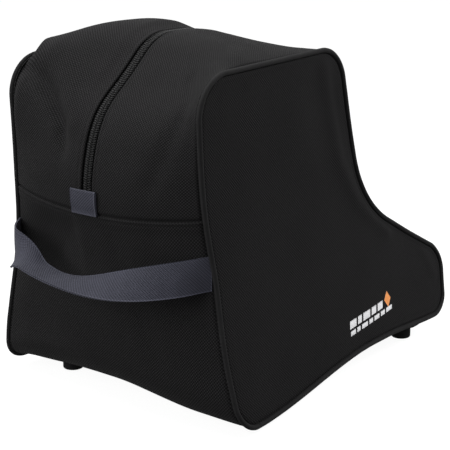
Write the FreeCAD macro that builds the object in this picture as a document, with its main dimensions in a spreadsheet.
import FreeCAD, Part
import math
import os

import Sketcher

# Shoe bag for a pair of boots, in millimetres.  +X runs from heel to toe, +Y to the bag's left side and +Z up.
# The origin is the bottom centre of the bag's box, on the surface that its four feet stand on.

V = FreeCAD.Vector
Rotation = FreeCAD.Rotation
Placement = FreeCAD.Placement

# The boot outline has six corners, each with a place and a radius.  "side" is the outline of the two flat side
# panels, and "mid" is the crowned outline of the gusset half way between them.
SIZES = {
    "side_heel_low_x": -163, "side_heel_low_z": 12, "side_heel_low_r": 24,
    "side_heel_top_x": -176, "side_heel_top_z": 307, "side_heel_top_r": 36,
    "side_ankle_top_x": 33, "side_ankle_top_z": 316, "side_ankle_top_r": 28,
    "side_instep_x": 73, "side_instep_z": 160, "side_instep_r": 110,
    "side_toe_top_x": 221, "side_toe_top_z": 83, "side_toe_top_r": 35,
    "side_toe_low_x": 212, "side_toe_low_z": 12, "side_toe_low_r": 26,
    "mid_heel_low_x": -168, "mid_heel_low_z": 12, "mid_heel_low_r": 36,
    "mid_heel_top_x": -209, "mid_heel_top_z": 364, "mid_heel_top_r": 128,
    "mid_ankle_top_x": 46, "mid_ankle_top_z": 311, "mid_ankle_top_r": 32,
    "mid_instep_x": 84, "mid_instep_z": 167, "mid_instep_r": 60,
    "mid_toe_top_x": 232, "mid_toe_top_z": 90, "mid_toe_top_r": 42,
    "mid_toe_low_x": 220, "mid_toe_low_z": 12, "mid_toe_low_r": 28,
    "half_width": 138, "side_lean_deg": 6.6, "side_taper_deg": 2.7,
    "fabric": 1.6, "seam_gap": 0.3, "foam": 3, "piping": 4.4, "piping_edge": 1.9,
    "binding": 1.2, "binding_width": 9, "foam_inset": 13,
    "seam_z": 186, "base_seam_x": 57, "zip_gap": 13,
    "tape": 0.7, "tape_width": 15, "tape_inset": 2.5, "coil": 1.4, "coil_width": 3.2, "coil_slot": 1.6,
    "slider_length": 14, "slider_width": 10.4, "slider_plate": 1.3, "slider_outside": 0.7,
    "slider_inside": -4.3, "slider_wall": 0.8, "slider_wall_drop": 1.6, "slider_post": 0.8,
    "bridge_height": 4, "bridge_bar": 1.2, "bridge_width": 2.4, "bridge_length": 11,
    "puller": 1.6, "puller_width": 9, "puller_length": 25, "puller_loop": 8.8, "puller_arm": 1.8,
    "puller_pin_x": -1.4, "puller_pin_z": 3.6, "slider_start": 50,
    "webbing": 1.6, "webbing_width": 30, "tab_height": 22, "tab_stand_off": 0.4, "tab_y": 2,
    "handle_half_span": 114, "handle_bow": 44, "handle_drop_deg": 20, "handle_x": -181.5, "handle_z": 146,
    "foot_width": 20, "foot_height": 11.85, "base_z": 12, "foot_edge": 2,
    "foot_y": 98, "foot_heel_x": -119, "foot_toe_x": 165,
    "screw_width": 4, "screw_depth": 7, "screw_head_width": 9, "screw_head": 1.8, "screw_hole_width": 4.6,
    "washer": 1, "washer_width": 16,
    "board": 3, "board_gap": 0.6, "board_heel_x": -136, "board_toe_x": 186, "board_heel_y": 118, "board_toe_y": 104,
    "board_corner": 26,
    "mark_x": 24, "mark_z": 44, "mark_raise": 0.8, "mark_slant": 0.3,
    "long_dash": 14, "long_dash_height": 7, "short_dash": 8, "short_dash_height": 4, "dash_space": 4,
    "badge": 13,
}

# Corner name, the ways towards the inside in X and Z, and 1 for an outside corner or -1 for an inside one.
CORNERS = [
    ("heel_low", 1, 1, 1),
    ("heel_top", 1, -1, 1),
    ("ankle_top", -1, -1, 1),
    ("instep", -1, -1, -1),
    ("toe_top", -1, -1, 1),
    ("toe_low", -1, 1, 1),
]

RIGHT, MIDDLE, LEFT = 1, 0, -1
SIDES = {"right": RIGHT, "left": LEFT}
BEYOND = 400

doc = FreeCAD.newDocument("shoe_bag")
sheet = doc.addObject("Spreadsheet::Sheet", "sizes")
nodes = []


# ---- the sheet, and lengths worked out from its cells ----

def fill_sheet():
    for row, (name, number) in enumerate(SIZES.items(), 1):
        sheet.set("A%d" % row, name)
        sheet.set("B%d" % row, str(number))
        sheet.setAlias("B%d" % row, name)
    doc.recompute()


def size(name):
    return float(sheet.get(name))


def length(*terms):
    """A sum of cells, as an expression and as a number.  A term is a cell, a number or (factor, cell)."""
    texts = []
    total = 0
    for term in terms:
        factor, cell = term if isinstance(term, tuple) else (1, term)
        if isinstance(cell, str):
            texts.append("%g * sizes.%s" % (factor, cell))
            total += factor * size(cell)
        else:
            texts.append("%g" % (factor * cell))
            total += factor * cell
    return " + ".join(texts), total


def bind(thing, prop, *terms):
    thing.setExpression(prop, length(*terms)[0])


# ---- bodies, sketches and features ----

def node(thing, label):
    thing.Label = label
    nodes.append(thing)
    return thing


def new_body(label):
    return node(doc.addObject("PartDesign::Body", label), label)


def sketch_on(body, name, role="XY_Plane"):
    sketch = body.newObject("Sketcher::SketchObject", name)
    plane = [feature for feature in body.Origin.OriginFeatures if feature.Role == role][0]
    sketch.AttachmentSupport = [(plane, "")]
    sketch.MapMode = "FlatFace"
    return sketch


def side_sketch(body, name, side, inwards=()):
    """A sketch in the plane of one side panel, or in the middle plane between the two."""
    sketch = sketch_on(body, name, "XZ_Plane")
    lean = Rotation(V(1, 0, 0), -side * size("side_lean_deg"))
    taper = Rotation(V(0, 1, 0), side * size("side_taper_deg"))
    sketch.AttachmentOffset = Placement(V(0, 0, 0), taper.multiply(lean))
    offset = [(side, "half_width")] + [(-side, cell) for cell in inwards]
    bind(sketch, "AttachmentOffset.Base.z", *offset)
    return sketch


def hold(sketch, kind, *where, at):
    index = sketch.addConstraint(Sketcher.Constraint(kind, *where, at[1]))
    sketch.setExpression("Constraints[%d]" % index, at[0])


def polygon(sketch, corners):
    """A closed outline with sharp corners, each an x and a y length."""
    places = [V(x[1], y[1], 0) for x, y in corners]
    first = sketch.GeometryCount
    for i, place in enumerate(places):
        sketch.addGeometry(Part.LineSegment(place, places[(i + 1) % len(places)]), False)
    for i, (x, y) in enumerate(corners):
        follower = first + (i + 1) % len(corners)
        sketch.addConstraint(Sketcher.Constraint("Coincident", first + i, 2, follower, 1))
        hold(sketch, "DistanceX", -1, 1, first + i, 1, at=x)
        hold(sketch, "DistanceY", -1, 1, first + i, 1, at=y)


def rectangle(sketch, low_x, low_y, high_x, high_y):
    polygon(sketch, [(low_x, low_y), (high_x, low_y), (high_x, high_y), (low_x, high_y)])


def circle(sketch, x, y, radius):
    ring = sketch.addGeometry(Part.Circle(V(x[1], y[1], 0), V(0, 0, 1), radius[1]), False)
    hold(sketch, "DistanceX", -1, 1, ring, 3, at=x)
    hold(sketch, "DistanceY", -1, 1, ring, 3, at=y)
    hold(sketch, "Radius", ring, at=radius)


def rounded(sketch, corners):
    """A closed outline of straight runs joined by tangent arcs.  Each corner is an x, a y and a radius."""
    places = [V(x[1], y[1], 0) for x, y, radius in corners]
    first = sketch.GeometryCount
    bends = []
    for i, place in enumerate(places):
        radius = corners[i][2][1]
        back = (places[i - 1] - place).normalize()
        ahead = (places[(i + 1) % len(places)] - place).normalize()
        half_turn = back.getAngle(ahead) / 2
        run = radius / math.tan(half_turn)
        centre = place + (back + ahead).normalize() * (radius / math.sin(half_turn))
        bends.append((place + back * run, place + ahead * run, centre))
    for i, bend in enumerate(bends):
        sketch.addGeometry(Part.LineSegment(bend[1], bends[(i + 1) % len(bends)][0]), False)
    for i, (start, end, centre) in enumerate(bends):
        angle_in = math.atan2(start.y - centre.y, start.x - centre.x)
        angle_out = math.atan2(end.y - centre.y, end.x - centre.x)
        forward = (angle_out - angle_in) % (2 * math.pi) < math.pi
        low, high = (angle_in, angle_out) if forward else (angle_out, angle_in)
        round_part = Part.ArcOfCircle(Part.Circle(centre, V(0, 0, 1), corners[i][2][1]), low, high)
        arc = sketch.addGeometry(round_part, False)
        arc_in, arc_out = (1, 2) if forward else (2, 1)
        line_in, line_out = first + (i - 1) % len(bends), first + i
        sketch.addConstraint(Sketcher.Constraint("Tangent", line_in, 2, arc, arc_in))
        sketch.addConstraint(Sketcher.Constraint("Tangent", arc, arc_out, line_out, 1))
        hold(sketch, "Radius", arc, at=corners[i][2])
    for i, place in enumerate(places):
        corner = sketch.addGeometry(Part.Point(place), True)
        for line in (first + (i - 1) % len(bends), first + i):
            sketch.addConstraint(Sketcher.Constraint("PointOnObject", corner, 1, line))
        hold(sketch, "DistanceX", -1, 1, corner, 1, at=corners[i][0])
        hold(sketch, "DistanceY", -1, 1, corner, 1, at=corners[i][1])


def boot_outline(sketch, profile, *inset):
    """The boot outline of a profile, drawn inside it by the sum of the inset's cells."""
    corners = []
    for name, inward_x, inward_z, turn in CORNERS:
        cell = "%s_%s_" % (profile, name)
        corners.append(tuple(
            length(cell + axis, *[(way * factor, part) for factor, part in inset])
            for axis, way in (("x", inward_x), ("z", inward_z), ("r", -turn))
        ))
    rounded(sketch, corners)


def pad(body, sketch, thickness, reverse=False, midplane=False):
    feature = body.newObject("PartDesign::Pad", sketch.Name + "_pad")
    feature.Profile = sketch
    bind(feature, "Length", *thickness)
    feature.Reversed = reverse
    feature.Midplane = midplane
    doc.recompute()
    return feature


def pocket(body, sketch):
    """Cuts a sketch right through the body, on both sides of its plane."""
    before = body.Shape.Volume
    feature = body.newObject("PartDesign::Pocket", sketch.Name + "_cut")
    feature.Profile = sketch
    feature.Type = "ThroughAll"
    feature.Midplane = True
    doc.recompute()
    if not body.Shape.Volume < before:
        raise RuntimeError(sketch.Name + " cuts nothing")
    return feature


def box(name, lows, highs):
    """A Part box between two corners, each three lengths."""
    shape = doc.addObject("Part::Box", name)
    for i, (axis, side) in enumerate((("x", "Length"), ("y", "Width"), ("z", "Height"))):
        shape.setExpression("Placement.Base." + axis, lows[i][0])
        shape.setExpression(side, "(%s) - (%s)" % (highs[i][0], lows[i][0]))
    return shape


# ---- the fabric: gusset panels, side panels, piping, binding and foam ----

def gusset_loft(body, kind, name, *inset):
    """Lofts the boot outline from the right side, over the crowned middle, to the left side."""
    outlines = []
    for side, profile in ((RIGHT, "side"), (MIDDLE, "mid"), (LEFT, "side")):
        sketch = side_sketch(body, "%s_outline_%d" % (name, 1 - side), side)
        boot_outline(sketch, profile, *inset)
        outlines.append(sketch)
    doc.recompute()
    loft = body.newObject(kind, name)
    loft.Profile = outlines[0]
    loft.Sections = outlines[1:]
    doc.recompute()


def gusset_form():
    """The whole band round the boot outline: a crowned shell that is open at both side panels."""
    body = doc.addObject("PartDesign::Body", "gusset_form")
    gusset_loft(body, "PartDesign::AdditiveLoft", "gusset_outside")
    solid = body.Shape.Volume
    gusset_loft(body, "PartDesign::SubtractiveLoft", "gusset_inside", (1, "fabric"))
    if not body.Shape.Volume < solid:
        raise RuntimeError("the gusset is not hollow")
    return body


def gusset_panel(label, form, low_cut, high_cut, foot_holes=None):
    """One panel of the gusset: the part of the band inside a box between two corners."""
    region = box(label + "_region", low_cut, high_cut)
    panel = doc.addObject("Part::Common", label)
    panel.Base = form
    panel.Tool = region
    if foot_holes:
        whole = panel
        whole.Label = label + "_uncut"
        panel = doc.addObject("Part::Cut", label + "_with_holes")
        panel.Base = whole
        panel.Tool = foot_holes
    doc.recompute()
    return node(panel, label)


def gusset_panels():
    form = gusset_form()
    low, high = length(-BEYOND), length(BEYOND)
    upper_seam = length("seam_z", (0.5, "seam_gap"))
    lower_seam = length("seam_z", (-0.5, "seam_gap"))
    holes = foot_hole_cutter()
    gusset_panel("zip_panel_right", form, (low, low, upper_seam), (high, length((-0.5, "zip_gap")), high))
    gusset_panel("zip_panel_left", form, (low, length((0.5, "zip_gap")), upper_seam), (high, high, high))
    heel_end = length("base_seam_x", (-0.5, "seam_gap"))
    toe_end = length("base_seam_x", (0.5, "seam_gap"))
    gusset_panel("heel_base_panel", form, (low, low, length(0)), (heel_end, high, lower_seam), holes)
    gusset_panel("toe_panel", form, (toe_end, low, length(0)), (high, high, lower_seam), holes)


def side_panel(name, side):
    body = new_body("side_panel_" + name)
    sketch = side_sketch(body, "side_panel_outline_" + name, side)
    boot_outline(sketch, "side", (1, "fabric"), (1, "seam_gap"))
    pad(body, sketch, ["fabric"], reverse=side == RIGHT)


def side_foam(name, side):
    body = new_body("side_foam_" + name)
    sketch = side_sketch(body, "side_foam_outline_" + name, side, ["fabric", "seam_gap"])
    boot_outline(sketch, "side", (1, "foam_inset"))
    pad(body, sketch, ["foam"], reverse=side == RIGHT)


def seam_binding(name, side):
    """The tape that binds the raw edges of the side seam, inside the bag."""
    body = new_body("seam_binding_" + name)
    sketch = side_sketch(body, "seam_binding_outline_" + name, side, ["fabric", "seam_gap"])
    boot_outline(sketch, "side", (1, "fabric"), (2, "seam_gap"))
    boot_outline(sketch, "side", (1, "fabric"), (2, "seam_gap"), (1, "binding_width"))
    pad(body, sketch, ["binding"], reverse=side == RIGHT)


def piping(name, side):
    """The corded edge that is sewn into the seam all the way round a side panel."""
    body = new_body("piping_" + name)
    sketch = side_sketch(body, "piping_outline_" + name, side)
    boot_outline(sketch, "side", (-0.5, "piping"))
    boot_outline(sketch, "side", (0.5, "piping"))
    ring = pad(body, sketch, ["piping"], reverse=side == LEFT)
    soften = body.newObject("PartDesign::Fillet", "piping_edges_" + name)
    flat_ends = [
        "Face%d" % number
        for number, face in enumerate(ring.Shape.Faces, 1)
        if face.Surface.TypeId == "Part::GeomPlane" and len(face.Wires) == 2
    ]
    soften.Base = (ring, flat_ends)
    bind(soften, "Radius", "piping_edge")
    doc.recompute()


# ---- the zip ----

def centre_strip(label, side, near_edge, width, outer, inner):
    """A strip along the gusset's centre line above the seam, between two depths under its surface."""
    body = new_body(label)
    sketch = sketch_on(body, label + "_outline", "XZ_Plane")
    bind(sketch, "AttachmentOffset.Base.z", *[(side * factor, cell) for factor, cell in near_edge])
    boot_outline(sketch, "mid", *outer)
    boot_outline(sketch, "mid", *inner)
    pad(body, sketch, [width], reverse=side == LEFT)
    below = sketch_on(body, label + "_below", "XZ_Plane")
    rectangle(below, length(-BEYOND), length(-BEYOND), length(BEYOND), length("seam_z"))
    pocket(body, below)


def zip_strips():
    for name, side in SIDES.items():
        slot = [(0.5, "coil_slot")]
        tape_top = [(1, "tape_inset")]
        tape_bottom = [(1, "tape_inset"), (1, "tape")]
        centre_strip("zip_tape_" + name, side, slot, "tape_width", tape_top, tape_bottom)
        coil_top = [(1, "tape_inset"), (-1, "coil")]
        centre_strip("zip_coil_" + name, side, slot, "coil_width", coil_top, tape_top)


def front_line():
    """The zip's straight run up the ankle front: its lower corner and its direction."""
    low = V(size("mid_instep_x"), 0, size("mid_instep_z"))
    high = V(size("mid_ankle_top_x"), 0, size("mid_ankle_top_z"))
    return low, (high - low).normalize()


def heel_line():
    low = V(size("mid_heel_low_x"), 0, size("mid_heel_low_z"))
    high = V(size("mid_heel_top_x"), 0, size("mid_heel_top_z"))
    return low, (high - low).normalize()


def on_line(line, distance, outward, lateral=0):
    """A placement on a line: local X runs up it, and local Z stands out of the bag."""
    start, along = line
    normal = V(-along.z, 0, along.x) if outward < 0 else V(along.z, 0, -along.x)
    across = normal.cross(along)
    return Placement(start + along * distance + V(0, lateral, 0), Rotation(along, across, normal, "XZY"))


def zip_slider():
    """Two plates that hold the chain between them, a post between its halves, and a bridge for the puller."""
    body = new_body("zip_slider")
    half_long, half_wide = length((0.5, "slider_length")), length((0.5, "slider_width"))
    back_long, back_wide = length((-0.5, "slider_length")), length((-0.5, "slider_width"))
    top = sketch_on(body, "slider_top")
    bind(top, "AttachmentOffset.Base.z", "slider_outside")
    rectangle(top, back_long, back_wide, half_long, half_wide)
    pad(body, top, ["slider_plate"])
    walls = sketch_on(body, "slider_walls")
    bind(walls, "AttachmentOffset.Base.z", "slider_outside")
    inner_wall = length((0.5, "slider_width"), (-1, "slider_wall"))
    inner_back = length((-0.5, "slider_width"), "slider_wall")
    rectangle(walls, back_long, inner_wall, half_long, half_wide)
    rectangle(walls, back_long, back_wide, half_long, inner_back)
    pad(body, walls, ["slider_wall_drop"], reverse=True)
    post = sketch_on(body, "slider_post")
    bind(post, "AttachmentOffset.Base.z", "slider_outside")
    post_back = length((0.5, "slider_length"), (-5, "slider_post"))
    rectangle(post, post_back, length((-0.5, "slider_post")), half_long, length((0.5, "slider_post")))
    pad(body, post, ["slider_outside", (-1, "slider_inside")], reverse=True)
    bottom = sketch_on(body, "slider_bottom")
    bind(bottom, "AttachmentOffset.Base.z", "slider_inside")
    rectangle(bottom, back_long, back_wide, half_long, half_wide)
    pad(body, bottom, ["slider_plate"], reverse=True)
    bridge = sketch_on(body, "slider_bridge", "XZ_Plane")
    plate_top = length("slider_outside", "slider_plate")
    bar_low = length("slider_outside", "slider_plate", "bridge_height", (-1, "bridge_bar"))
    bar_high = length("slider_outside", "slider_plate", "bridge_height")
    ends = length((-0.5, "bridge_length")), length((0.5, "bridge_length"))
    inner_ends = (
        length((-0.5, "bridge_length"), (1.5, "bridge_bar")),
        length((0.5, "bridge_length"), (-1.5, "bridge_bar")),
    )
    polygon(bridge, [
        (ends[0], plate_top), (inner_ends[0], plate_top), (inner_ends[0], bar_low), (inner_ends[1], bar_low),
        (inner_ends[1], plate_top), (ends[1], plate_top), (ends[1], bar_high), (ends[0], bar_high),
    ])
    pad(body, bridge, ["bridge_width"], midplane=True)
    body.Placement = on_line(front_line(), size("slider_start"), 1)


def zip_puller():
    """A loop that hangs on the slider's bridge, with a flat grip below it."""
    body = new_body("zip_puller")
    half_wide, back_wide = length((0.5, "puller_width")), length((-0.5, "puller_width"))
    plate = sketch_on(body, "puller_plate")
    bind(plate, "AttachmentOffset.Base.z", (-0.5, "puller"))
    loop_end = length((-1, "puller_loop"))
    grip_end = length((-1, "puller_loop"), (-1, "puller_length"))
    rectangle(plate, grip_end, back_wide, length(0), half_wide)
    rectangle(
        plate, loop_end, length((-0.5, "puller_width"), "puller_arm"),
        length((-0.5, "puller")), length((0.5, "puller_width"), (-1, "puller_arm")),
    )
    pad(body, plate, ["puller"])
    bar = sketch_on(body, "puller_bar", "XZ_Plane")
    circle(bar, length(0), length(0), length((0.5, "puller")))
    pad(body, bar, ["puller_width"], midplane=True)
    pin = V(size("puller_pin_x"), 0, size("puller_pin_z"))
    slider_place = on_line(front_line(), size("slider_start"), 1)
    body.Placement = Placement(slider_place.multVec(pin), slider_place.Rotation)


def zip_tab(label, line, distance, outward):
    """A folded piece of webbing that covers one end of the zip."""
    body = new_body(label)
    sketch = sketch_on(body, label + "_outline")
    bind(sketch, "AttachmentOffset.Base.z", "tab_stand_off")
    rectangle(
        sketch, length(0), length((-0.5, "webbing_width")), length("tab_height"), length((0.5, "webbing_width")),
    )
    pad(body, sketch, ["webbing"])
    body.Placement = on_line(line, distance, outward, size("tab_y"))


def zip_tabs():
    heel_start, heel_way = heel_line()
    heel_distance = (size("seam_z") - heel_start.z) / heel_way.z
    zip_tab("heel_tab", heel_line(), heel_distance, -1)
    front_start, front_way = front_line()
    front_distance = (size("seam_z") - front_start.z) / front_way.z
    zip_tab("front_tab", front_line(), front_distance, 1)


# ---- the carry handle ----

def carry_handle():
    """A bowed strap whose two ends are level with its hinge line, hanging a little below it."""
    body = new_body("carry_handle")
    sketch = sketch_on(body, "handle_bow")
    span, bow, half_thick = size("handle_half_span"), size("handle_bow"), size("webbing") / 2
    radius = (span ** 2 + bow ** 2) / (2 * bow)
    bow_radius = "(sizes.handle_half_span ^ 2 + sizes.handle_bow ^ 2) / (2 * sizes.handle_bow)"
    centre = V(radius - bow, 0, 0)
    half_sweep = math.asin(span / radius)
    arcs = []
    for way in (-1, 1):
        ring = Part.Circle(centre, V(0, 0, 1), radius + way * half_thick)
        arcs.append(sketch.addGeometry(Part.ArcOfCircle(ring, math.pi - half_sweep, math.pi + half_sweep), False))
        at = ("%s + %d * sizes.webbing / 2" % (bow_radius, way), radius + way * half_thick)
        hold(sketch, "Radius", arcs[-1], at=at)
        hold(sketch, "DistanceX", -1, 1, arcs[-1], 3, at=(bow_radius + " - sizes.handle_bow", centre.x))
        sketch.addConstraint(Sketcher.Constraint("PointOnObject", arcs[-1], 3, -1))
    for end in (1, 2):
        tip = [sketch.getPoint(arc, end) for arc in arcs]
        line = sketch.addGeometry(Part.LineSegment(*tip), False)
        sketch.addConstraint(Sketcher.Constraint("Coincident", line, 1, arcs[0], end))
        sketch.addConstraint(Sketcher.Constraint("Coincident", line, 2, arcs[1], end))
        way = 1 if tip[0].y > 0 else -1
        for arc, point in zip(arcs, tip):
            share = point.y / (way * span)
            hold(sketch, "DistanceY", -1, 1, arc, end, at=length((way * share, "handle_half_span")))
    pad(body, sketch, ["webbing_width"], midplane=True)
    body.Placement = Placement(
        V(size("handle_x"), 0, size("handle_z")),
        Rotation(V(0, 1, 0), -size("handle_drop_deg")),
    )


# ---- the base: board, feet, screws and washers ----

def foot_places():
    return [(x, (way, "foot_y")) for x in ("foot_heel_x", "foot_toe_x") for way in (-1, 1)]


def rounds_at_feet(body, name, width, *height):
    """A sketch of one circle over each foot, at a height above the ground."""
    sketch = sketch_on(body, name)
    bind(sketch, "AttachmentOffset.Base.z", *height)
    for x, y in foot_places():
        circle(sketch, length(x), length(y), length((0.5, width)))
    return sketch


def foot_hole_cutter():
    body = doc.addObject("PartDesign::Body", "foot_holes")
    sketch = rounds_at_feet(body, "foot_holes_outline", "screw_hole_width", 0)
    pad(body, sketch, [(2, "foot_height")])
    return body


def feet():
    for x_name, x in (("heel", "foot_heel_x"), ("toe", "foot_toe_x")):
        for y_name, way in (("right", -1), ("left", 1)):
            body = new_body("foot_%s_%s" % (x_name, y_name))
            outline = sketch_on(body, body.Label + "_outline")
            circle(outline, length(0), length(0), length((0.5, "foot_width")))
            post = pad(body, outline, ["foot_height"])
            edge = body.newObject("PartDesign::Fillet", body.Label + "_edge")
            bottom = [n for n, e in enumerate(post.Shape.Edges, 1) if e.BoundBox.ZMax < size("foot_edge") / 2]
            edge.Base = (post, ["Edge%d" % n for n in bottom])
            bind(edge, "Radius", "foot_edge")
            doc.recompute()
            hole = sketch_on(body, body.Label + "_hole")
            bind(hole, "AttachmentOffset.Base.z", "foot_height")
            circle(hole, length(0), length(0), length((0.5, "screw_width")))
            before = body.Shape.Volume
            bore = body.newObject("PartDesign::Pocket", body.Label + "_bore")
            bore.Profile = hole
            bind(bore, "Length", "screw_depth")
            doc.recompute()
            if not body.Shape.Volume < before:
                raise RuntimeError(body.Label + " has no screw hole")
            bind(body, "Placement.Base.x", x)
            bind(body, "Placement.Base.y", (way, "foot_y"))


def base_board():
    """The stiff board inside the base, with holes for the foot screws."""
    body = new_body("base_board")
    outline = sketch_on(body, "board_outline")
    bind(outline, "AttachmentOffset.Base.z", "base_z", "fabric", "board_gap")
    corner = length("board_corner")
    rounded(outline, [
        (length("board_heel_x"), length((-1, "board_heel_y")), corner),
        (length("board_toe_x"), length((-1, "board_toe_y")), corner),
        (length("board_toe_x"), length("board_toe_y"), corner),
        (length("board_heel_x"), length("board_heel_y"), corner),
    ])
    pad(body, outline, ["board"])
    pocket(body, rounds_at_feet(body, "board_holes", "screw_hole_width", 0))


def foot_fasteners():
    board_top = ["base_z", "fabric", "board_gap", "board"]
    washers = new_body("foot_washers")
    pad(washers, rounds_at_feet(washers, "washer_outline", "washer_width", *board_top), ["washer"])
    pocket(washers, rounds_at_feet(washers, "washer_holes", "screw_hole_width", 0))
    screws = new_body("foot_screws")
    shank_low = ["foot_height", (-1, "screw_depth")]
    shank = rounds_at_feet(screws, "screw_shanks", "screw_width", *shank_low)
    pad(screws, shank, ["screw_depth", (-1, "foot_height"), *board_top, "washer"])
    heads = rounds_at_feet(screws, "screw_heads", "screw_head_width", *board_top, "washer")
    pad(screws, heads, ["screw_head"])


# ---- the embroidered mark, plain dashes and a diamond ----

def dash(sketch, start_x, low_z, long_cell, high_cell):
    """A dash whose ends slant, given its start and base as lists of terms."""
    slant = size("mark_slant") * size(high_cell)
    polygon(sketch, [
        (length(*start_x), length(*low_z)),
        (length(*start_x, long_cell), length(*low_z)),
        (length(*start_x, long_cell, slant), length(*low_z, high_cell)),
        (length(*start_x, slant), length(*low_z, high_cell)),
    ])


def embroidered_mark():
    dashes = new_body("mark_dashes")
    sketch = side_sketch(dashes, "dash_outline", RIGHT)
    for number in range(4):
        start = ["mark_x", (number, "long_dash"), (number, "dash_space")]
        dash(sketch, start, ["mark_z", "short_dash_height", "dash_space"], "long_dash", "long_dash_height")
    for number in range(6):
        start = ["mark_x", (number, "short_dash"), (number, "dash_space")]
        dash(sketch, start, ["mark_z"], "short_dash", "short_dash_height")
    pad(dashes, sketch, ["mark_raise"])
    badge = new_body("mark_badge")
    diamond = side_sketch(badge, "diamond_outline", RIGHT)
    left = ["mark_x", (4, "long_dash"), (4, "dash_space")]
    middle = ["mark_z", (0.5, "badge")]
    polygon(diamond, [
        (length(*left), length(*middle)),
        (length(*left, (0.5, "badge")), length("mark_z")),
        (length(*left, "badge"), length(*middle)),
        (length(*left, (0.5, "badge")), length("mark_z", "badge")),
    ])
    pad(badge, diamond, ["mark_raise"])


def check_document():
    for thing in doc.Objects:
        if {"Invalid", "Error"} & set(thing.State):
            raise RuntimeError("%s failed: %s" % (thing.Label, thing.State))
    for thing in nodes:
        if thing.Shape.isNull() or not thing.Shape.isValid():
            raise RuntimeError(thing.Label + " has no valid shape")


def write_parts():
    os.makedirs("parts", exist_ok=True)
    for thing in nodes:
        thing.Shape.exportStep("parts/%s.step" % thing.Label)


fill_sheet()
gusset_panels()
for name, side in SIDES.items():
    side_panel(name, side)
    side_foam(name, side)
    seam_binding(name, side)
    piping(name, side)
zip_strips()
zip_slider()
zip_puller()
zip_tabs()
carry_handle()
feet()
base_board()
foot_fasteners()
embroidered_mark()
doc.recompute()
check_document()
write_parts()
for thing in nodes:
    bounds = thing.Shape.BoundBox
    print("%-20s %2d solids %9.0f mm3  x %7.1f %7.1f  y %7.1f %7.1f  z %6.1f %6.1f" % (
        thing.Label, len(thing.Shape.Solids), thing.Shape.Volume,
        bounds.XMin, bounds.XMax, bounds.YMin, bounds.YMax, bounds.ZMin, bounds.ZMax,
    ))
